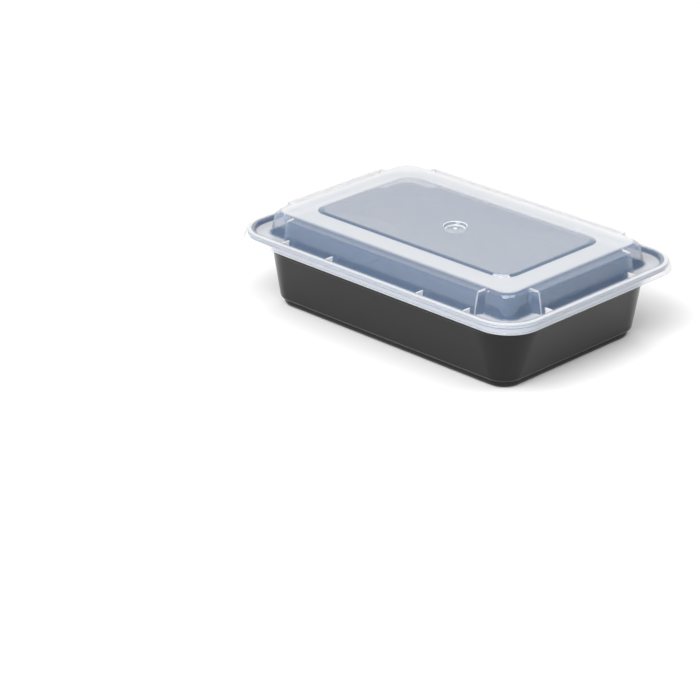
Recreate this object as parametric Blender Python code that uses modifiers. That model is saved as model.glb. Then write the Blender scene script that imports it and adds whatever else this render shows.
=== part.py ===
"""Rectangular takeaway meal container: a black tray with a clear close-fitting lid.

Units are metres and +Z is up. X runs along the length and Y across the width.
The origin is the middle of the base, on the surface that the tray stands on.
"""
import math

import bmesh
import bpy
from mathutils import Matrix, Vector

# Driving sizes of the tray
RIM_LENGTH = 0.222
RIM_WIDTH = 0.1509
RIM_HEIGHT = 0.0473
RIM_CORNER = 0.023
TRAY_WALL = 0.0008

# Driving sizes of the lid
LID_HEIGHT = 0.0596
LID_WALL = 0.00065
FIT_GAP = 0.0003

# Rolled lip round the tray's rim and the ledge inside it
LIP_DROP = 0.0023
LIP_WIDTH = 0.0031
LIP_ROUND = 0.0009
LIP_DRAFT = 0.0008
LEDGE_DEPTH = 0.0033
LEDGE_WIDTH = 0.0052
WALL_CORNER = 0.024

# Tray wall: an upper band, a narrow stacking step, then the main wall
STEP_HEIGHT = 0.0358
STEP_WIDTH = 0.0008
BAND_DRAFT = 0.0007
BASE_LENGTH = 0.1862
BASE_WIDTH = 0.1172
BASE_CORNER = 0.0118

# Foot of the tray: a small inset, a round edge and a raised middle
FOOT_TOP = 0.0054
FOOT_INSET = 0.0019
FOOT_BAND = 0.0038
FOOT_ROUND = 0.0018
FLOOR_LENGTH = 0.1574
FLOOR_WIDTH = 0.0870
FLOOR_CORNER = 0.006
FLOOR_RISE = 0.0013
FLOOR_BEVEL = 0.0018

# Lid skirt, from its flared lower edge, which stands out at the corners, to the bead's top
SKIRT_BOTTOM = 0.0428
SKIRT_FLARE = 0.00025
SKIRT_FLARE_HEIGHT = 0.0010
CORNER_FLARE = 0.0030

# Dome of the lid: its sides stand out between the ribs at the corners
DOME_LENGTH = 0.1946
DOME_WIDTH = 0.1224
DOME_CORNER = 0.008
DOME_DRAFT = 0.0020
SIDE_STAND_OUT = 0.0055
RIB_X = 0.0762
RIB_Y = 0.0402
RIB_SLANT = 0.0026
SHOULDER_ROUND = 0.0022
SHOULDER_STEP = 0.0008
SHOULDER_TOP_DROP = 0.0007

# Flat band, raised panel and gate cup on the top of the lid
BAND_HEIGHT = 0.0590
BAND_LENGTH = 0.1846
BAND_WIDTH = 0.1138
PANEL_LENGTH = 0.1550
PANEL_WIDTH = 0.0846
PANEL_CORNER = 0.0105
PANEL_BEVEL = 0.0026
PANEL_SAG = 0.0009
CUP_RADIUS = 0.0068
CUP_DEPTH = 0.0021
CUP_DRAFT = 0.0010

# Gussets that bridge the groove behind the bead
GUSSET_THICKNESS = 0.0010
GUSSET_DROP = 0.0005
GUSSET_BITE = 0.0003
GUSSET_LONG_SIDE = (0.036, 0.072)
GUSSET_SHORT_SIDE = (0.036,)

# Fineness of the round stretches
CORNER_STEPS = 7
FILLET_STEPS = 3


def clear_scene():
    """Remove whatever the opened file holds."""
    for thing in list(bpy.context.scene.objects):
        bpy.data.objects.remove(thing, do_unlink=True)


def make_material(name, colour, roughness, alpha=1.0):
    """Principled material of one plastic."""
    material = bpy.data.materials.new(name)
    material.use_nodes = True
    shader = material.node_tree.nodes["Principled BSDF"]
    shader.inputs["Base Color"].default_value = (*colour, 1.0)
    shader.inputs["Roughness"].default_value = roughness
    shader.inputs["Metallic"].default_value = 0.0
    shader.inputs["Alpha"].default_value = alpha
    return material


def station(length, width, corner, height, stand_out=0.0, side_rise=0.0):
    """One level of a shell: a rounded rectangle and what its sides do between the ribs.

    stand_out moves the sides outward and side_rise moves them up, the corners staying.
    """
    return Vector((length / 2, width / 2, corner, height, stand_out, side_rise))


def rounded(stations):
    """Replace each (station, reach) by an arc-like run that starts and ends reach away."""
    path = []
    for index, (here, reach) in enumerate(stations):
        if reach == 0.0:
            path.append(here)
            continue
        before = stations[index - 1][0]
        after = stations[index + 1][0]
        start = here + (before - here) * (reach / section_distance(before, here))
        end = here + (after - here) * (reach / section_distance(after, here))
        for step in range(FILLET_STEPS + 1):
            t = step / FILLET_STEPS
            path.append(start * (1 - t) ** 2 + here * (2 * t * (1 - t)) + end * t ** 2)
    return path


def section_distance(a, b):
    """Distance between two stations in the cross-section of a long side."""
    outward = (a[1] + a[4]) - (b[1] + b[4])
    upward = (a[3] + a[5]) - (b[3] + b[5])
    return math.hypot(outward, upward)


def ring_points(level):
    """Points round one station, anticlockwise from the middle of the +X side."""
    half_x, half_y, corner, height, stand_out, side_rise = level
    rib_x = min(RIB_X + RIB_SLANT, half_x - corner - RIB_SLANT)
    rib_y = min(RIB_Y + RIB_SLANT, half_y - corner - RIB_SLANT)
    side_height = height + side_rise
    quarter = [
        Vector((half_x + stand_out, rib_y - RIB_SLANT, side_height)),
        Vector((half_x, rib_y, height)),
    ]
    for step in range(CORNER_STEPS + 1):
        angle = math.pi / 2 * step / CORNER_STEPS
        quarter.append(Vector((
            half_x - corner + corner * math.cos(angle),
            half_y - corner + corner * math.sin(angle),
            height,
        )))
    quarter.append(Vector((rib_x, half_y, height)))
    quarter.append(Vector((rib_x - RIB_SLANT, half_y + stand_out, side_height)))
    half = quarter + [Vector((-p.x, p.y, p.z)) for p in reversed(quarter)]
    return half + [Vector((-p.x, -p.y, p.z)) for p in half]


def circle_points(radius, height, count):
    """Points of a circle, as many as a ring has and starting near its first one."""
    turns = [2 * math.pi * (index + 0.5) / count for index in range(count)]
    return [Vector((radius * math.cos(a), radius * math.sin(a), height)) for a in turns]


def loft(name, rings):
    """Open surface through the rings, its last ring filled with one face."""
    mesh = bpy.data.meshes.new(name)
    surface = bmesh.new()
    levels = [[surface.verts.new(point) for point in ring] for ring in rings]
    count = len(levels[0])
    for lower, upper in zip(levels, levels[1:]):
        for index in range(count):
            following = (index + 1) % count
            surface.faces.new((lower[index], lower[following], upper[following], upper[index]))
    surface.faces.new(levels[-1])
    surface.to_mesh(mesh)
    surface.free()
    return bpy.data.objects.new(name, mesh)


def finish_shell(shell, material, wall, collection):
    """Give a lofted surface its wall and its plastic."""
    shell.data.materials.append(material)
    shell.data.shade_smooth()
    shell.data.set_sharp_from_angle(angle=math.radians(40))
    collection.objects.link(shell)
    solidify = shell.modifiers.new("wall", "SOLIDIFY")
    solidify.thickness = wall
    solidify.offset = -1.0
    solidify.use_even_offset = True
    return shell


def tray_stations():
    """Upper face of the tray, from the lip's lower edge over the rim to the floor."""
    lip_length = RIM_LENGTH - 2 * LIP_WIDTH
    lip_width = RIM_WIDTH - 2 * LIP_WIDTH
    ledge_height = RIM_HEIGHT - LEDGE_DEPTH
    ledge_length = lip_length - 2 * LIP_DRAFT
    ledge_width = lip_width - 2 * LIP_DRAFT
    wall_length = ledge_length - 2 * LEDGE_WIDTH
    wall_width = ledge_width - 2 * LEDGE_WIDTH
    step_length = wall_length - 2 * BAND_DRAFT
    step_width = wall_width - 2 * BAND_DRAFT
    foot_length = BASE_LENGTH - 2 * FOOT_INSET
    foot_width = BASE_WIDTH - 2 * FOOT_INSET
    lip_corner = RIM_CORNER - LIP_WIDTH
    foot_corner = BASE_CORNER - FOOT_INSET / 2
    return [
        (station(RIM_LENGTH, RIM_WIDTH, RIM_CORNER, RIM_HEIGHT - LIP_DROP), 0.0),
        (station(RIM_LENGTH, RIM_WIDTH, RIM_CORNER, RIM_HEIGHT), LIP_ROUND),
        (station(lip_length, lip_width, lip_corner, RIM_HEIGHT), LIP_ROUND),
        (station(ledge_length, ledge_width, lip_corner - LIP_DRAFT, ledge_height), LIP_ROUND / 2),
        (station(wall_length, wall_width, WALL_CORNER, ledge_height), LIP_ROUND),
        (station(step_length, step_width, WALL_CORNER, STEP_HEIGHT), 0.0),
        (station(step_length - 2 * STEP_WIDTH, step_width - 2 * STEP_WIDTH, WALL_CORNER,
                 STEP_HEIGHT - STEP_WIDTH / 2), 0.0),
        (station(BASE_LENGTH, BASE_WIDTH, BASE_CORNER, FOOT_TOP), LIP_ROUND),
        (station(foot_length, foot_width, foot_corner, FOOT_BAND), 0.0),
        (station(foot_length, foot_width, foot_corner, TRAY_WALL), FOOT_ROUND),
        (station(FLOOR_LENGTH, FLOOR_WIDTH, FLOOR_CORNER, TRAY_WALL), 0.0),
        (station(FLOOR_LENGTH - 2 * FLOOR_BEVEL, FLOOR_WIDTH - 2 * FLOOR_BEVEL,
                 FLOOR_CORNER - FLOOR_BEVEL, TRAY_WALL + FLOOR_RISE), 0.0),
    ]


def lid_stations():
    """Upper face of the lid, from the skirt's lower edge over the bead to the panel."""
    skin = FIT_GAP + LID_WALL
    bead_height = RIM_HEIGHT + skin
    skirt_length = RIM_LENGTH + 2 * skin
    skirt_width = RIM_WIDTH + 2 * skin
    skirt_corner = RIM_CORNER + skin
    lower_corner = skirt_corner - CORNER_FLARE
    flare_length = skirt_length + 2 * SKIRT_FLARE
    flare_width = skirt_width + 2 * SKIRT_FLARE
    flare_top = SKIRT_BOTTOM + SKIRT_FLARE_HEIGHT
    groove_height = RIM_HEIGHT - LEDGE_DEPTH + skin
    bead_inset = LIP_WIDTH + skin
    bead_corner = RIM_CORNER - bead_inset
    groove_inset = bead_inset + LIP_DRAFT
    dome_top_length = DOME_LENGTH - 2 * DOME_DRAFT
    dome_top_width = DOME_WIDTH - 2 * DOME_DRAFT
    side_top = SIDE_STAND_OUT - SHOULDER_STEP / 2
    step_drop = SHOULDER_STEP / 4
    return [
        (station(flare_length, flare_width, lower_corner + SKIRT_FLARE, SKIRT_BOTTOM), 0.0),
        (station(flare_length, flare_width, lower_corner + SKIRT_FLARE, flare_top), 0.0),
        (station(skirt_length, skirt_width, lower_corner, flare_top + SKIRT_FLARE), 0.0),
        (station(skirt_length, skirt_width, skirt_corner, bead_height), LIP_ROUND),
        (station(RIM_LENGTH - 2 * bead_inset, RIM_WIDTH - 2 * bead_inset, bead_corner,
                 bead_height), LIP_ROUND),
        (station(RIM_LENGTH - 2 * groove_inset, RIM_WIDTH - 2 * groove_inset,
                 bead_corner - LIP_DRAFT, groove_height), 0.0),
        (station(DOME_LENGTH, DOME_WIDTH, DOME_CORNER, groove_height, SIDE_STAND_OUT), 0.0),
        (station(dome_top_length, dome_top_width, DOME_CORNER, BAND_HEIGHT - SHOULDER_ROUND,
                 side_top, SHOULDER_STEP), 0.0),
        (station(dome_top_length - SHOULDER_ROUND, dome_top_width - SHOULDER_ROUND, DOME_CORNER,
                 BAND_HEIGHT - SHOULDER_TOP_DROP, side_top, -step_drop), 0.0),
        (station(BAND_LENGTH + SHOULDER_STEP, BAND_WIDTH + SHOULDER_STEP, DOME_CORNER,
                 BAND_HEIGHT - step_drop, SHOULDER_STEP, step_drop - SHOULDER_STEP), 0.0),
        (station(BAND_LENGTH, BAND_WIDTH, DOME_CORNER, BAND_HEIGHT, -SHOULDER_STEP / 2), 0.0),
        (station(PANEL_LENGTH, PANEL_WIDTH, PANEL_CORNER, BAND_HEIGHT), 0.0),
        (station(PANEL_LENGTH - 2 * PANEL_BEVEL, PANEL_WIDTH - 2 * PANEL_BEVEL,
                 PANEL_CORNER - PANEL_BEVEL / 2, LID_HEIGHT), 0.0),
    ]


def build_tray(collection):
    """The black tray."""
    plastic = make_material("black_plastic", (0.012, 0.012, 0.013), 0.32)
    rings = [ring_points(level) for level in rounded(tray_stations())]
    return finish_shell(loft("tray", rings), plastic, TRAY_WALL, collection)


def gusset(across, along, turn, collection):
    """One thin web that bridges the groove, along the side from its middle."""
    skin = FIT_GAP + LID_WALL
    top = RIM_HEIGHT + skin - GUSSET_DROP
    bottom = RIM_HEIGHT - LEDGE_DEPTH + skin - GUSSET_BITE
    rise = top - bottom
    bead_side = across - LIP_WIDTH - skin
    dome_side = across - RIM_WIDTH / 2 + DOME_WIDTH / 2 + SIDE_STAND_OUT
    lean_out = LIP_DRAFT * rise / LEDGE_DEPTH
    lean_in = DOME_DRAFT * rise / (BAND_HEIGHT - SHOULDER_ROUND - bottom)
    web = bmesh.new()
    bmesh.ops.create_cube(web, size=1.0)
    for corner in web.verts:
        upper = corner.co.z > 0
        if corner.co.y > 0:
            reach = bead_side - LIP_DRAFT + GUSSET_BITE + (lean_out if upper else 0.0)
        else:
            reach = dome_side - GUSSET_BITE - (lean_in if upper else 0.0)
        corner.co = Vector((along + corner.co.x * GUSSET_THICKNESS, reach, top if upper else bottom))
    bmesh.ops.recalc_face_normals(web, faces=web.faces)
    bmesh.ops.transform(web, matrix=Matrix.Rotation(turn, 4, "Z"), verts=web.verts)
    mesh = bpy.data.meshes.new("gusset")
    web.to_mesh(mesh)
    web.free()
    piece = bpy.data.objects.new("gusset", mesh)
    piece.hide_render = True
    piece.display_type = "WIRE"
    collection.objects.link(piece)


def build_gussets(collection):
    """All the webs behind the bead, on four sides."""
    long_side = [sign * x for x in GUSSET_LONG_SIDE for sign in (1, -1)]
    short_side = [sign * y for y in GUSSET_SHORT_SIDE for sign in (1, -1)]
    for turn in (0.0, math.pi):
        for along in long_side:
            gusset(RIM_WIDTH / 2, along, turn, collection)
        for along in short_side:
            gusset(RIM_LENGTH / 2, along, turn + math.pi / 2, collection)


def build_lid(collection, webs):
    """The clear lid."""
    plastic = make_material("clear_plastic", (0.62, 0.66, 0.72), 0.18, alpha=0.45)
    rings = [ring_points(level) for level in rounded(lid_stations())]
    count = len(rings[0])
    cup_top = LID_HEIGHT - PANEL_SAG
    rings.append(circle_points(CUP_RADIUS, cup_top, count))
    rings.append(circle_points(CUP_RADIUS - CUP_DRAFT, cup_top - CUP_DEPTH, count))
    lid = finish_shell(loft("lid", rings), plastic, LID_WALL, collection)
    join = lid.modifiers.new("gussets", "BOOLEAN")
    join.operation = "UNION"
    join.solver = "EXACT"
    join.operand_type = "COLLECTION"
    join.collection = webs
    return lid


def main():
    clear_scene()
    container = bpy.data.collections.new("meal_container")
    webs = bpy.data.collections.new("gussets")
    bpy.context.scene.collection.children.link(container)
    bpy.context.scene.collection.children.link(webs)
    build_tray(container)
    build_gussets(webs)
    build_lid(container, webs)


main()
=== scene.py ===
"""Looks of the takeaway meal container: a satin black tray under a hazy clear lid.

Units are metres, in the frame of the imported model. Both shells are lofted again with finer
rounds than the solids have, inside the same boxes.
"""
import math

import bmesh
import bpy
from mathutils import Matrix, Vector


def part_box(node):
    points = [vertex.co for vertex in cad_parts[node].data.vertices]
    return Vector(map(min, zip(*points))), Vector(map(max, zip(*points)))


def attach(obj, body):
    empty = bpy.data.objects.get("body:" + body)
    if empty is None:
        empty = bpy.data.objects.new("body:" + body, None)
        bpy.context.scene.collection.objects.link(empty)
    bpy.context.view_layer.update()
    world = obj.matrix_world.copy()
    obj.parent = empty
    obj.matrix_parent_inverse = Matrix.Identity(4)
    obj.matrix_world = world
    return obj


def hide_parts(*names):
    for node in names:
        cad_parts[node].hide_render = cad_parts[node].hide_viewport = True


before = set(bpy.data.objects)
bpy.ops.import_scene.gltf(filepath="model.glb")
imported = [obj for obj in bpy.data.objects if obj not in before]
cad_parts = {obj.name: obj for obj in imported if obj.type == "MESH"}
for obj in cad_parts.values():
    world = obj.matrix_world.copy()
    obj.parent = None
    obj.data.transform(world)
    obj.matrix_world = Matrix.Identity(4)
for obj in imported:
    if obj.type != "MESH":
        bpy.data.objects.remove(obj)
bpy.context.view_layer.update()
tray_low, tray_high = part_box("tray")
lid_low, lid_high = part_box("lid")

# Sizes read from the frame
RIM_LENGTH = tray_high.x - tray_low.x
RIM_WIDTH = tray_high.y - tray_low.y
RIM_HEIGHT = tray_high.z
LID_HEIGHT = lid_high.z
SKIRT_BOTTOM = lid_low.z

# Walls and the gap between the two pieces
TRAY_WALL = 0.0008
LID_WALL = 0.00065
FIT_GAP = 0.0003
SKIN = FIT_GAP + LID_WALL

# Tray: lip, ledge, stacking step and walls
RIM_CORNER = 0.023
LIP_DROP = 0.0023
LIP_WIDTH = 0.0031
LIP_ROUND = 0.0009
SMALL_ROUND = LIP_ROUND / 2
TINY_ROUND = LIP_ROUND / 3
LIP_DRAFT = 0.0008
LEDGE_DEPTH = 0.0033
LEDGE_WIDTH = 0.0052
WALL_CORNER = 0.024
STEP_HEIGHT = 0.0358
STEP_WIDTH = 0.0008
BAND_DRAFT = 0.0007
BASE_LENGTH = 0.1862
BASE_WIDTH = 0.1172
BASE_CORNER = 0.0118

# Tray: foot and floor
FOOT_TOP = 0.0054
FOOT_INSET = 0.0019
FOOT_BAND = 0.0038
FOOT_ROUND = 0.0018
FLOOR_LENGTH = 0.1574
FLOOR_WIDTH = 0.0870
FLOOR_CORNER = 0.006
FLOOR_RISE = 0.0013
FLOOR_BEVEL = 0.0018

# Lid: skirt, dome, shoulder, band, panel and cup
SKIRT_LENGTH = RIM_LENGTH + 2 * SKIN
SKIRT_WIDTH = RIM_WIDTH + 2 * SKIN
SKIRT_CORNER = RIM_CORNER + SKIN
SKIRT_FLARE = 0.00025
SKIRT_FLARE_HEIGHT = 0.0010
CORNER_FLARE = 0.0030
DOME_LENGTH = 0.1946
DOME_WIDTH = 0.1224
DOME_CORNER = 0.008
DOME_DRAFT = 0.0020
SIDE_STAND_OUT = 0.0055
RIB_X = 0.0762
RIB_Y = 0.0402
RIB_SLANT = 0.0026
RIB_ROUND = 0.0009
RIB_REACH_LIMIT = 0.4
SHOULDER_ROUND = 0.0022
SHOULDER_STEP = 0.0008
SHOULDER_TOP_DROP = 0.0007
BAND_HEIGHT = 0.0590
BAND_LENGTH = 0.1846
BAND_WIDTH = 0.1138
PANEL_LENGTH = 0.1550
PANEL_WIDTH = 0.0846
PANEL_CORNER = 0.0105
PANEL_BEVEL = 0.0026
PANEL_SAG = 0.0009
CUP_RADIUS = 0.0068
CUP_DEPTH = 0.0021
CUP_DRAFT = 0.0010
CUP_ROUND = 0.0005
CUP_DOME = 0.0004
CUP_POINT = 0.0005
WITNESS_RADIUS = 0.0119
WITNESS_WIDTH = 0.0003

# Gussets behind the bead
GUSSET_THICKNESS = 0.0010
GUSSET_DROP = 0.0005
GUSSET_BITE = 0.0003
GUSSET_LONG_SIDE = (0.036, 0.072)
GUSSET_SHORT_SIDE = (0.036,)

# Fineness of the round stretches, and how far large faces rule the shading
CORNER_STEPS = 20
FILLET_STEPS = 5
PANEL_STEPS = 10
LARGE_FACE_WEIGHT = 100

# How frosted each stretch of the lid is, from 0, clear, to 1, as white as it gets. On the bead's top
# and the gussets the frost is partly haze and partly a painted highlight
CLEAR = 0.0
PANEL_FROST = 0.145
WITNESS_FROST = 0.19
SHOULDER_FROST = 0.04
GROOVE_FROST = 0.42
SKIRT_EDGE_FROST = 0.50
SKIRT_LINE_FROST = 0.06
SKIRT_FROST = 0.28
BEAD_EDGE_FROST = 0.0
BEAD_INSIDE_FROST = 0.04
# Partly haze, partly a painted highlight on the bead's top
BEAD_PAINTED_HIGHLIGHT_FROST = 0.58
# Partly haze, partly a painted highlight on the gussets
GUSSET_PAINTED_HIGHLIGHT_FROST = 0.9
BAND_FROST = 0.45

# Frost that paints highlights on the whitest edges, partly the haze of thin edges: a rounded one
# gets about half of it, the cup's point all of it
RIB_PAINTED_HIGHLIGHT_FROST = 0.50
RIB_TIP_PAINTED_HIGHLIGHT_FROST = 1.6
# The cup's white ring and point are a painted highlight
CUP_PAINTED_HIGHLIGHT_FROST = 1.6

# Where the frost changes on the skirt, the bead, the groove and the panel
SKIRT_LINE_HEIGHT = 0.0034
SKIRT_LINE_WIDTH = 0.0004
BEAD_EDGE_WIDTH = 1.1 * LIP_ROUND
BEAD_WHITE_EDGE = 0.0018
GROOVE_EDGE_WIDTH = 2 * LIP_ROUND
FROST_FADE = 0.0003
PANEL_CLEAR_EDGE = 2 * FROST_FADE

# Tray plastic: colours and roughness, each from one value to the other
TRAY_TONES = ((0.0062, 0.0059, 0.0063), (0.0090, 0.0086, 0.0090))
TRAY_ROUGHNESS = (0.16, 0.24)
TRAY_SPECULAR = 0.30

# Lid plastic: haze and white that it scatters, what passes through and its roughness
HAZE_TONES = ((0.054, 0.088, 0.140), (0.066, 0.087, 0.134))
WHITE_TONES = ((0.72, 0.725, 0.73), (0.77, 0.775, 0.78))
THROUGH_TONES = ((0.87, 0.84, 0.80), (0.10, 0.10, 0.10))
LID_ROUGHNESS = (0.05, 0.40)

# Share of light that the lid mirrors when seen straight, and how fast it grows at a slant
STRAIGHT_MIRROR = 0.04
SLANT_POWER = 5.0

# Noise in the plastics: scale and detail
TRAY_CLOUD = (60.0, 3.0)
TRAY_GRAIN = (2600.0, 2.0)
LID_CLOUD = (45.0, 2.0)
LID_GRAIN = (3200.0, 2.0)

# Fine relief of the plastics: strength and depth
TRAY_RELIEF = (0.12, 0.00004)
LID_RELIEF = (0.05, 0.00003)

# Camera, floor, and how many clear layers the light passes
CAMERA_PLACE = Vector((1.0424, -1.1426, 0.6646))
CAMERA_AIM = Vector((-0.6425, 0.6502, -0.4056))
CAMERA_LENS = 145.6
SENSOR_WIDTH = 36.0
FLOOR_RADIUS = 1.6
FLOOR_STEPS = 64
FLOOR_DROP = 0.0001
FLOOR_COLOUR = (0.92, 0.92, 0.92)
FLOOR_ROUGHNESS = 0.85
FLOOR_SPECULAR = 0.1
SEE_THROUGH_LAYERS = 24

# Sky: a direction, the range of its dot product and the share of light at both ends
BACKDROP = ((-0.81, 0.59, 0.0), (-1.0, 1.0), (0.75, 1.15))
CEILING = ((0.0, 0.0, 1.0), (0.46, 0.60), (1.0, 0.38))

# Lamps: where each stands, its size and its power
KEY_PLACE = Vector((0.45, -1.45, 1.35))
KEY_SIZE = (1.3, 1.3)
KEY_POWER = 29.0
OVERHEAD_PLACE = Vector((0.44, -0.42, 1.37))
OVERHEAD_SIZE = (2.2, 0.42)
OVERHEAD_POWER = 14.0
BACK_PLACE = Vector((-0.667, 0.711, 1.13))
BACK_SIZE = (0.32, 0.32)
BACK_POWER = 2.4


def level(length, width, corner, height, stand_out=0.0, side_rise=0.0, frost=0.0):
    """One level of a shell: a rounded rectangle and what its sides do between the ribs."""
    return Vector((length / 2, width / 2, corner, height, stand_out, side_rise, frost))


def section_distance(a, b):
    """Distance between two levels in the cross-section of a long side."""
    outward = (a[1] + a[4]) - (b[1] + b[4])
    upward = (a[3] + a[5]) - (b[3] + b[5])
    return math.hypot(outward, upward)


def bend(start, corner, end, t):
    """Point at t on the arc-like run from start to end that corner pulls outward."""
    return start * (1 - t) ** 2 + corner * (2 * t * (1 - t)) + end * t ** 2


def rounded(levels):
    """Replace each (level, reach) by a smooth run that starts and ends reach away from it."""
    path = []
    for index, (here, reach) in enumerate(levels):
        if reach == 0.0:
            path.append(here)
            continue
        before = levels[index - 1][0]
        after = levels[index + 1][0]
        start = here + (before - here) * (reach / section_distance(before, here))
        end = here + (after - here) * (reach / section_distance(after, here))
        path += [bend(start, here, end, step / FILLET_STEPS) for step in range(FILLET_STEPS + 1)]
    return path


def ring_points(here):
    """Points round one level, with the frost as a fourth number, from the middle of the +X side."""
    half_x, half_y, corner, height, stand_out, side_rise, frost = here
    rib_x = min(RIB_X + RIB_SLANT, half_x - corner - RIB_SLANT)
    rib_y = min(RIB_Y + RIB_SLANT, half_y - corner - RIB_SLANT)
    side_height = height + side_rise
    # The rib's outer corner gets a painted highlight through its frost
    edge = rib_frost_with_painted_highlight(frost, stand_out, side_rise)
    side = Vector((half_x + stand_out, rib_y - RIB_SLANT, side_height, edge))
    inner = Vector((half_x, rib_y, height, frost))
    middle = Vector((half_x + stand_out, 0.0, side_height, frost))
    arc = [
        Vector((
            half_x - corner + corner * math.cos(angle),
            half_y - corner + corner * math.sin(angle),
            height,
            frost,
        ))
        for angle in [math.pi / 2 * step / CORNER_STEPS for step in range(CORNER_STEPS + 1)]
    ]
    first = rib_run(middle, side, inner, arc[0])
    side = Vector((rib_x - RIB_SLANT, half_y + stand_out, side_height, edge))
    inner = Vector((rib_x, half_y, height, frost))
    middle = Vector((0.0, half_y + stand_out, side_height, frost))
    last = rib_run(middle, side, inner, arc[-1])
    quarter = first + arc + last[::-1]
    half = quarter + [Vector((-p[0], p[1], p[2], p[3])) for p in reversed(quarter)]
    return half + [Vector((-p[0], -p[1], p[2], p[3])) for p in half]


def rib_run(middle, side, inner, arc_start):
    """The end of a standing-out side, with both of its corners rounded and a painted highlight,
    given as frost, on the outer one.
    """
    run = []
    for before, here, after in ((middle, side, inner), (side, inner, arc_start)):
        start = here.lerp(before, rib_reach(before, here))
        end = here.lerp(after, rib_reach(after, here))
        start[3] = middle[3]
        end[3] = middle[3]
        run += [bend(start, here, end, step / FILLET_STEPS) for step in range(FILLET_STEPS + 1)]
    return run


def rib_frost_with_painted_highlight(frost, stand_out, side_rise):
    """Frost of a rib's outer corner, partly haze and partly a painted highlight: whitest at its tip,
    the level's own where no rib is.
    """
    if stand_out <= SHOULDER_STEP:
        return frost
    return RIB_TIP_PAINTED_HIGHLIGHT_FROST if side_rise < 0.0 else RIB_PAINTED_HIGHLIGHT_FROST


def rib_reach(neighbour, here):
    """Share of the way to a neighbour at which the rounding of a rib's corner starts."""
    return min(RIB_ROUND / max((neighbour - here).xyz.length, RIB_ROUND), RIB_REACH_LIMIT)


def circle_points(radius, height, frost, count):
    """Points of a circle, as many as a ring has and starting near its first one."""
    turns = [2 * math.pi * (index + 0.5) / count for index in range(count)]
    return [Vector((radius * math.cos(a), radius * math.sin(a), height, frost)) for a in turns]


def loft(name, rings, wall):
    """Shell through the rings, its last ring filled with one face, with the frost kept on it."""
    mesh = bpy.data.meshes.new(name)
    surface = bmesh.new()
    frost = surface.verts.layers.float.new("frost")
    levels = []
    for ring in rings:
        row = []
        for point in ring:
            vert = surface.verts.new(point[:3])
            vert[frost] = point[3]
            row.append(vert)
        levels.append(row)
    count = len(levels[0])
    for lower, upper in zip(levels, levels[1:]):
        for index in range(count):
            following = (index + 1) % count
            surface.faces.new((lower[index], lower[following], upper[following], upper[index]))
    surface.faces.new(levels[-1])
    surface.to_mesh(mesh)
    surface.free()
    mesh.shade_smooth()
    shell = bpy.data.objects.new(name, mesh)
    bpy.context.scene.collection.objects.link(shell)
    solidify = shell.modifiers.new("wall", "SOLIDIFY")
    solidify.thickness = wall
    solidify.offset = -1.0
    solidify.use_even_offset = True
    normals = shell.modifiers.new("flat faces stay flat", "WEIGHTED_NORMAL")
    normals.weight = LARGE_FACE_WEIGHT
    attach(shell, "root")
    return shell


def tray_levels():
    """Upper face of the tray, from the lip's lower edge over the rim to the floor."""
    lip_length = RIM_LENGTH - 2 * LIP_WIDTH
    lip_width = RIM_WIDTH - 2 * LIP_WIDTH
    ledge_height = RIM_HEIGHT - LEDGE_DEPTH
    ledge_length = lip_length - 2 * LIP_DRAFT
    ledge_width = lip_width - 2 * LIP_DRAFT
    wall_length = ledge_length - 2 * LEDGE_WIDTH
    wall_width = ledge_width - 2 * LEDGE_WIDTH
    step_length = wall_length - 2 * BAND_DRAFT
    step_width = wall_width - 2 * BAND_DRAFT
    foot_length = BASE_LENGTH - 2 * FOOT_INSET
    foot_width = BASE_WIDTH - 2 * FOOT_INSET
    lip_corner = RIM_CORNER - LIP_WIDTH
    foot_corner = BASE_CORNER - FOOT_INSET / 2
    return [
        (level(RIM_LENGTH, RIM_WIDTH, RIM_CORNER, RIM_HEIGHT - LIP_DROP), 0.0),
        (level(RIM_LENGTH, RIM_WIDTH, RIM_CORNER, RIM_HEIGHT), LIP_ROUND),
        (level(lip_length, lip_width, lip_corner, RIM_HEIGHT), LIP_ROUND),
        (level(ledge_length, ledge_width, lip_corner - LIP_DRAFT, ledge_height), SMALL_ROUND),
        (level(wall_length, wall_width, WALL_CORNER, ledge_height), LIP_ROUND),
        (level(step_length, step_width, WALL_CORNER, STEP_HEIGHT), STEP_WIDTH / 3),
        (level(step_length - 2 * STEP_WIDTH, step_width - 2 * STEP_WIDTH, WALL_CORNER,
               STEP_HEIGHT - STEP_WIDTH / 2), STEP_WIDTH / 3),
        (level(BASE_LENGTH, BASE_WIDTH, BASE_CORNER, FOOT_TOP), LIP_ROUND),
        (level(foot_length, foot_width, foot_corner, FOOT_BAND), TINY_ROUND),
        (level(foot_length, foot_width, foot_corner, TRAY_WALL), FOOT_ROUND),
        (level(FLOOR_LENGTH, FLOOR_WIDTH, FLOOR_CORNER, TRAY_WALL), FLOOR_BEVEL / 4),
        (level(FLOOR_LENGTH - 2 * FLOOR_BEVEL, FLOOR_WIDTH - 2 * FLOOR_BEVEL,
               FLOOR_CORNER - FLOOR_BEVEL, TRAY_WALL + FLOOR_RISE), 0.0),
    ]


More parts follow.
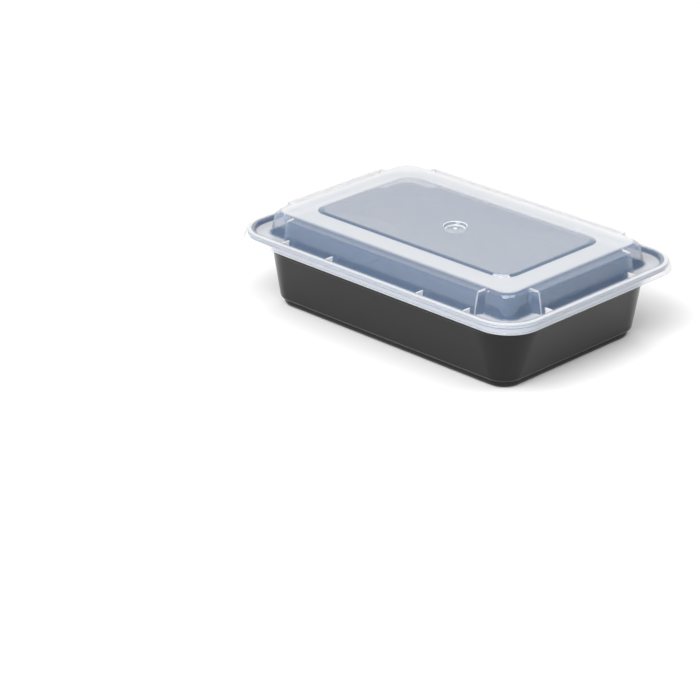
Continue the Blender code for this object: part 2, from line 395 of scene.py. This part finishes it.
def lid_levels():
    """Upper face of the lid, from the skirt's lower edge over the bead to the panel's edge."""
    bead_height = RIM_HEIGHT + SKIN
    groove_height = RIM_HEIGHT - LEDGE_DEPTH + SKIN
    bead_inset = LIP_WIDTH + SKIN
    foot_inset = bead_inset + LIP_DRAFT
    bead_corner = RIM_CORNER - bead_inset
    bead_outside = level(SKIRT_LENGTH, SKIRT_WIDTH, SKIRT_CORNER, bead_height,
                         frost=BEAD_EDGE_FROST)
    bead_inside = level(RIM_LENGTH - 2 * bead_inset, RIM_WIDTH - 2 * bead_inset, bead_corner,
                        bead_height, frost=BEAD_INSIDE_FROST)
    bead_foot = level(RIM_LENGTH - 2 * foot_inset, RIM_WIDTH - 2 * foot_inset,
                      bead_corner - LIP_DRAFT, groove_height, frost=GROOVE_FROST)
    wall_foot = level(DOME_LENGTH, DOME_WIDTH, DOME_CORNER, groove_height, SIDE_STAND_OUT)
    return (
        skirt_levels(bead_outside)
        + bead_levels(bead_outside, bead_inside, bead_foot)
        + dome_levels(bead_foot, wall_foot)
        + panel_levels()
    )


def skirt_levels(bead_outside):
    """The skirt from its flared lower edge, which stands out at the corners, to the bead."""
    lower_corner = SKIRT_CORNER - CORNER_FLARE
    flare_length = SKIRT_LENGTH + 2 * SKIRT_FLARE
    flare_width = SKIRT_WIDTH + 2 * SKIRT_FLARE
    flare_corner = lower_corner + SKIRT_FLARE
    flare_top = SKIRT_BOTTOM + SKIRT_FLARE_HEIGHT
    foot = level(SKIRT_LENGTH, SKIRT_WIDTH, lower_corner, flare_top + SKIRT_FLARE,
                 frost=SKIRT_FROST)
    line_rise = SKIRT_LINE_HEIGHT - SKIRT_FLARE_HEIGHT - SKIRT_FLARE
    flat_rise = bead_outside[3] - foot[3] - BEAD_EDGE_WIDTH
    rises = (
        (line_rise - SKIRT_LINE_WIDTH, SKIRT_FROST),
        (line_rise, SKIRT_LINE_FROST),
        (line_rise + SKIRT_LINE_WIDTH, SKIRT_FROST),
        (flat_rise, SKIRT_FROST),
    )
    return [
        (level(flare_length, flare_width, flare_corner, SKIRT_BOTTOM,
               frost=SKIRT_EDGE_FROST), 0.0),
        (level(flare_length, flare_width, flare_corner, flare_top,
               frost=SKIRT_LINE_FROST), SKIRT_FLARE),
        (foot, 0.0),
    ] + [(between(foot, bead_outside, rise, frost), 0.0) for rise, frost in rises]


def bead_levels(bead_outside, bead_inside, bead_foot):
    """The bead over the tray's lip, from its outer edge down to its foot in the groove."""
    return [
        (bead_outside, LIP_ROUND),
        # The bead's top gets frost that is partly haze, partly a painted highlight
        (across(bead_outside, bead_inside, BEAD_EDGE_WIDTH, BEAD_PAINTED_HIGHLIGHT_FROST), 0.0),
        (across(bead_inside, bead_outside, BEAD_WHITE_EDGE + FROST_FADE, BEAD_PAINTED_HIGHLIGHT_FROST), 0.0),
        (across(bead_inside, bead_outside, BEAD_WHITE_EDGE, BEAD_INSIDE_FROST), 0.0),
        (bead_inside, LIP_ROUND),
        (between(bead_foot, bead_inside, GROOVE_EDGE_WIDTH, CLEAR), 0.0),
        (between(bead_foot, bead_inside, GROOVE_EDGE_WIDTH / 2, CLEAR), 0.0),
        (bead_foot, SMALL_ROUND),
    ]


def dome_levels(bead_foot, wall_foot):
    """The groove's floor, then the dome's wall and its shoulder, up to the frosted band."""
    top_length = DOME_LENGTH - 2 * DOME_DRAFT
    top_width = DOME_WIDTH - 2 * DOME_DRAFT
    side_top = SIDE_STAND_OUT - SHOULDER_STEP / 2
    step_drop = SHOULDER_STEP / 4
    return [
        (across(wall_foot, bead_foot, GROOVE_EDGE_WIDTH, GROOVE_FROST), 0.0),
        (wall_foot, SMALL_ROUND),
        (level(top_length, top_width, DOME_CORNER, BAND_HEIGHT - SHOULDER_ROUND, side_top,
               SHOULDER_STEP), SMALL_ROUND),
        (level(top_length - SHOULDER_ROUND, top_width - SHOULDER_ROUND, DOME_CORNER,
               BAND_HEIGHT - SHOULDER_TOP_DROP, side_top, -step_drop,
               frost=SHOULDER_FROST), SMALL_ROUND),
        (level(BAND_LENGTH + SHOULDER_STEP, BAND_WIDTH + SHOULDER_STEP, DOME_CORNER,
               BAND_HEIGHT - step_drop, SHOULDER_STEP, step_drop - SHOULDER_STEP), TINY_ROUND),
        (level(BAND_LENGTH, BAND_WIDTH, DOME_CORNER, BAND_HEIGHT, -SHOULDER_STEP / 2,
               frost=BAND_FROST / 2), TINY_ROUND),
    ]


def panel_levels():
    """The frosted band, then the bevel up to the raised panel, whose edge stays clear."""
    panel_length = PANEL_LENGTH - 2 * PANEL_BEVEL
    panel_width = PANEL_WIDTH - 2 * PANEL_BEVEL
    panel_corner = PANEL_CORNER - PANEL_BEVEL / 2
    return [
        (level(BAND_LENGTH - 2 * SHOULDER_STEP, BAND_WIDTH - 2 * SHOULDER_STEP, DOME_CORNER,
               BAND_HEIGHT, -SHOULDER_STEP / 2, frost=BAND_FROST), 0.0),
        (level(PANEL_LENGTH + FROST_FADE, PANEL_WIDTH + FROST_FADE, PANEL_CORNER, BAND_HEIGHT,
               frost=BAND_FROST), 0.0),
        (level(PANEL_LENGTH, PANEL_WIDTH, PANEL_CORNER, BAND_HEIGHT), 0.0),
        (level(panel_length, panel_width, panel_corner, LID_HEIGHT), FROST_FADE),
        (level(panel_length - 2 * PANEL_CLEAR_EDGE, panel_width - 2 * PANEL_CLEAR_EDGE,
               panel_corner, LID_HEIGHT, frost=PANEL_FROST), 0.0),
    ]


def between(below, above, rise, frost):
    """A level on the wall between two others, so much above the lower one."""
    here = below.lerp(above, rise / (above[3] - below[3]))
    here[6] = frost
    return here


def across(start, end, inset, frost):
    """A level on the flat stretch between two others, so much inside the first one."""
    here = start.lerp(end, inset / abs(end[0] - start[0]))
    here[6] = frost
    return here


def cup_rings(edge):
    """Rings of the sagging panel from its edge inward, then down into the cup."""
    count = len(edge)
    top = LID_HEIGHT - PANEL_SAG
    bottom = top - CUP_DEPTH
    foot = CUP_RADIUS - CUP_DRAFT
    rings = []
    middle = circle_points(WITNESS_RADIUS + WITNESS_WIDTH, top, PANEL_FROST, count)
    for step in range(1, PANEL_STEPS + 1):
        share = step / PANEL_STEPS
        sag = PANEL_SAG * math.sin(share * math.pi / 2)
        rings.append([
            Vector((*outer.lerp(inner, share)[:2], LID_HEIGHT - sag, PANEL_FROST))
            for outer, inner in zip(edge, middle)
        ])
    profile = [
        Vector((WITNESS_RADIUS, top, WITNESS_FROST)),
        Vector((WITNESS_RADIUS - WITNESS_WIDTH, top, PANEL_FROST)),
    ]
    wall = (Vector((foot, bottom)) - Vector((CUP_RADIUS, top))).normalized() * CUP_ROUND
    profile += cup_fillet((CUP_RADIUS + CUP_ROUND, top), (CUP_RADIUS, top),
                          (CUP_RADIUS + wall.x, top + wall.y))
    profile += cup_fillet((foot - wall.x, bottom - wall.y), (foot, bottom),
                          (foot - CUP_ROUND, bottom))
    for step in range(1, FILLET_STEPS):
        share = step / FILLET_STEPS
        radius = (foot - CUP_ROUND) * (1 - share) + CUP_POINT * share
        profile.append(Vector((radius, bottom + CUP_DOME * share, PANEL_FROST)))
    # Painted highlight on the cup's point
    profile.append(Vector((CUP_POINT, bottom + CUP_DOME, CUP_PAINTED_HIGHLIGHT_FROST)))
    return rings + [circle_points(*point, count) for point in profile]


def cup_fillet(start, corner, end):
    """Radius, height and frost along one rounded edge of the cup, with a painted highlight that is
    whitest in its middle.
    """
    run = []
    for step in range(FILLET_STEPS + 1):
        t = step / FILLET_STEPS
        place = bend(Vector(start), Vector(corner), Vector(end), t)
        frost = PANEL_FROST + (CUP_PAINTED_HIGHLIGHT_FROST - PANEL_FROST) * 2 * t * (1 - t)
        run.append(Vector((*place, frost)))
    return run


def build_tray():
    """The black tray."""
    tray = loft("tray_shell", [ring_points(here) for here in rounded(tray_levels())],
                TRAY_WALL)
    tray.data.materials.append(black_plastic())
    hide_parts("tray")


def build_lid():
    """The clear lid and its gussets."""
    rings = [ring_points(here) for here in rounded(lid_levels())]
    rings += cup_rings(rings[-1])
    lid = loft("lid_shell", rings, LID_WALL)
    plastic = clear_plastic()
    lid.data.materials.append(plastic)
    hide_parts("lid")
    webs = build_gussets()
    webs.data.materials.append(plastic)


def gusset(webs, outer, along, turn):
    """Add one thin web that bridges the groove, so far along a side from its middle."""
    top = RIM_HEIGHT + SKIN - GUSSET_DROP
    bottom = RIM_HEIGHT - LEDGE_DEPTH + SKIN - GUSSET_BITE
    rise = top - bottom
    bead_side = outer - LIP_WIDTH - SKIN
    dome_side = outer - RIM_WIDTH / 2 + DOME_WIDTH / 2 + SIDE_STAND_OUT
    lean_out = LIP_DRAFT * rise / LEDGE_DEPTH
    lean_in = DOME_DRAFT * rise / (BAND_HEIGHT - SHOULDER_ROUND - bottom)
    made = bmesh.ops.create_cube(webs, size=1.0)["verts"]
    for corner in made:
        upper = corner.co.z > 0
        if corner.co.y > 0:
            reach = bead_side - LIP_DRAFT + GUSSET_BITE + (lean_out if upper else 0.0)
        else:
            reach = dome_side - GUSSET_BITE - (lean_in if upper else 0.0)
        corner.co = Vector((along + corner.co.x * GUSSET_THICKNESS, reach, top if upper else bottom))
    bmesh.ops.transform(webs, matrix=Matrix.Rotation(turn, 4, "Z"), verts=made)


def build_gussets():
    """All the webs behind the bead, on four sides, as one piece."""
    webs = bmesh.new()
    frost = webs.verts.layers.float.new("frost")
    for turn in (0.0, math.pi):
        for along in [sign * x for x in GUSSET_LONG_SIDE for sign in (1, -1)]:
            gusset(webs, RIM_WIDTH / 2, along, turn)
        for along in [sign * y for y in GUSSET_SHORT_SIDE for sign in (1, -1)]:
            gusset(webs, RIM_LENGTH / 2, along, turn + math.pi / 2)
    # The webs' frost is partly haze, partly a painted highlight
    for vert in webs.verts:
        vert[frost] = GUSSET_PAINTED_HIGHLIGHT_FROST
    bmesh.ops.recalc_face_normals(webs, faces=webs.faces)
    mesh = bpy.data.meshes.new("lid_gussets")
    webs.to_mesh(mesh)
    webs.free()
    piece = bpy.data.objects.new("lid_gussets", mesh)
    bpy.context.scene.collection.objects.link(piece)
    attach(piece, "root")
    return piece


def new_material(name):
    """An empty Principled material, with its nodes, links and shader."""
    material = bpy.data.materials.new(name)
    material.use_nodes = True
    nodes = material.node_tree.nodes
    return material, nodes, material.node_tree.links, nodes["Principled BSDF"]


def noise(nodes, links, scale, detail):
    """Noise in object space, for slight unevenness and fine grain."""
    place = nodes.new("ShaderNodeTexCoord")
    grain = nodes.new("ShaderNodeTexNoise")
    grain.inputs["Scale"].default_value = scale
    grain.inputs["Detail"].default_value = detail
    links.new(place.outputs["Object"], grain.inputs["Vector"])
    return grain.outputs["Fac"]


def remap(nodes, links, value, low, high, source=(0.0, 1.0)):
    """Stretch a value from source onto low to high."""
    node = nodes.new("ShaderNodeMapRange")
    node.inputs["From Min"].default_value = source[0]
    node.inputs["From Max"].default_value = source[1]
    node.inputs["To Min"].default_value = low
    node.inputs["To Max"].default_value = high
    links.new(value, node.inputs["Value"])
    return node.outputs["Result"]


def mix_colour(nodes, links, share, low, high):
    """Blend two colours by a value. Sockets 0, 6 and 7 are the share and the colours."""
    node = nodes.new("ShaderNodeMix")
    node.data_type = "RGBA"
    links.new(share, node.inputs[0])
    for socket, colour in ((node.inputs[6], low), (node.inputs[7], high)):
        if isinstance(colour, tuple):
            socket.default_value = (*colour, 1.0)
        else:
            links.new(colour, socket)
    return node.outputs[2]


def bump(nodes, links, height, strength, distance):
    """Fine relief from a height value."""
    node = nodes.new("ShaderNodeBump")
    node.inputs["Strength"].default_value = strength
    node.inputs["Distance"].default_value = distance
    links.new(height, node.inputs["Height"])
    return node.outputs["Normal"]


def black_plastic():
    """Satin black plastic with a faint moulded grain and uneven gloss."""
    material, nodes, links, shader = new_material("black_plastic")
    cloud = noise(nodes, links, *TRAY_CLOUD)
    grain = noise(nodes, links, *TRAY_GRAIN)
    links.new(mix_colour(nodes, links, cloud, *TRAY_TONES), shader.inputs["Base Color"])
    links.new(remap(nodes, links, cloud, *TRAY_ROUGHNESS), shader.inputs["Roughness"])
    links.new(bump(nodes, links, grain, *TRAY_RELIEF), shader.inputs["Normal"])
    shader.inputs["Specular IOR Level"].default_value = TRAY_SPECULAR
    return material


def clear_plastic():
    """Thin clear plastic: each face scatters some light and mirrors more of it at a slant."""
    material, nodes, links, scatter = new_material("clear_plastic")
    # The frost mark holds the plastic's haze and also painted highlights on the rib edges, the cup,
    # the bead's top and the gussets
    mark = nodes.new("ShaderNodeAttribute")
    mark.attribute_name = "frost"
    frost = mark.outputs["Fac"]
    cloud = noise(nodes, links, *LID_CLOUD)
    grain = noise(nodes, links, *LID_GRAIN)
    haze = mix_colour(nodes, links, cloud, *HAZE_TONES)
    white = mix_colour(nodes, links, grain, *WHITE_TONES)
    links.new(mix_colour(nodes, links, frost, haze, white), scatter.inputs["Base Color"])
    scatter.inputs["Roughness"].default_value = 1.0
    scatter.inputs["Specular IOR Level"].default_value = 0.0
    through = nodes.new("ShaderNodeBsdfTransparent")
    links.new(mix_colour(nodes, links, frost, *THROUGH_TONES), through.inputs["Color"])
    body = nodes.new("ShaderNodeAddShader")
    links.new(through.outputs[0], body.inputs[0])
    links.new(scatter.outputs[0], body.inputs[1])
    gloss = nodes.new("ShaderNodeBsdfAnisotropic")
    links.new(remap(nodes, links, frost, *LID_ROUGHNESS), gloss.inputs["Roughness"])
    links.new(bump(nodes, links, grain, *LID_RELIEF), gloss.inputs["Normal"])
    skin = nodes.new("ShaderNodeMixShader")
    links.new(slant(nodes, links), skin.inputs[0])
    links.new(body.outputs[0], skin.inputs[1])
    links.new(gloss.outputs[0], skin.inputs[2])
    links.new(skin.outputs[0], nodes["Material Output"].inputs["Surface"])
    return material


def slant(nodes, links):
    """How much a face mirrors: a little when seen straight, all of it when seen edge on."""
    facing = nodes.new("ShaderNodeLayerWeight")
    facing.inputs["Blend"].default_value = 0.5
    steep = nodes.new("ShaderNodeMath")
    steep.operation = "POWER"
    steep.inputs[1].default_value = SLANT_POWER
    links.new(facing.outputs["Facing"], steep.inputs[0])
    return remap(nodes, links, steep.outputs[0], STRAIGHT_MIRROR, 1.0)


def floor_material():
    """Plain pale surface."""
    material, _, _, shader = new_material("floor")
    shader.inputs["Base Color"].default_value = (*FLOOR_COLOUR, 1.0)
    shader.inputs["Roughness"].default_value = FLOOR_ROUGHNESS
    shader.inputs["Specular IOR Level"].default_value = FLOOR_SPECULAR
    return material


def build_floor():
    """The round surface that the container stands on, which reaches past the whole view."""
    mesh = bpy.data.meshes.new("floor")
    surface = bmesh.new()
    bmesh.ops.create_circle(surface, cap_ends=True, segments=FLOOR_STEPS, radius=FLOOR_RADIUS)
    surface.to_mesh(mesh)
    surface.free()
    mesh.materials.append(floor_material())
    floor = bpy.data.objects.new("floor", mesh)
    floor.location.z = -FLOOR_DROP
    bpy.context.scene.collection.objects.link(floor)


def build_sky():
    """Soft surroundings: brightest low and behind on the left, darker overhead."""
    world = bpy.data.worlds.new("studio")
    world.use_nodes = True
    nodes = world.node_tree.nodes
    links = world.node_tree.links
    product = nodes.new("ShaderNodeMath")
    product.operation = "MULTIPLY"
    for socket, share in zip(product.inputs, (BACKDROP, CEILING)):
        links.new(sky_share(nodes, links, *share), socket)
    links.new(product.outputs[0], nodes["Background"].inputs["Strength"])
    nodes["Background"].inputs["Color"].default_value = (1.0, 1.0, 1.0, 1.0)
    bpy.context.scene.world = world


def sky_share(nodes, links, towards, source, shares):
    """Share of the sky's light that changes towards one direction."""
    place = nodes.new("ShaderNodeTexCoord")
    turn = nodes.new("ShaderNodeVectorMath")
    turn.operation = "DOT_PRODUCT"
    turn.inputs[1].default_value = towards
    links.new(place.outputs["Generated"], turn.inputs[0])
    return remap(nodes, links, turn.outputs["Value"], *shares, source)


def build_lamp(name, place, size, power):
    """A soft rectangular light that points at the container, its long side level."""
    light = bpy.data.lights.new(name, "AREA")
    light.shape = "RECTANGLE"
    light.size = size[0]
    light.size_y = size[1]
    light.energy = power
    lamp = bpy.data.objects.new(name, light)
    lamp.location = place
    lamp.rotation_euler = (-place).to_track_quat("-Z", "Y").to_euler()
    bpy.context.scene.collection.objects.link(lamp)


def build_camera():
    """Camera at the photo's angle and framing."""
    lens = bpy.data.cameras.new("camera")
    lens.lens = CAMERA_LENS
    lens.sensor_width = SENSOR_WIDTH
    camera = bpy.data.objects.new("camera", lens)
    camera.location = CAMERA_PLACE
    camera.rotation_euler = CAMERA_AIM.to_track_quat("-Z", "Y").to_euler()
    bpy.context.scene.collection.objects.link(camera)
    bpy.context.scene.camera = camera


def settings():
    """Plain colour, a smoothed picture and enough see-through layers for the lid."""
    scene = bpy.context.scene
    scene.view_settings.view_transform = "Standard"
    scene.cycles.transparent_max_bounces = SEE_THROUGH_LAYERS
    scene.cycles.use_denoising = True


build_camera()
build_tray()
build_lid()
build_floor()
build_sky()
build_lamp("key", KEY_PLACE, KEY_SIZE, KEY_POWER)
build_lamp("overhead", OVERHEAD_PLACE, OVERHEAD_SIZE, OVERHEAD_POWER)
build_lamp("back", BACK_PLACE, BACK_SIZE, BACK_POWER)
settings()
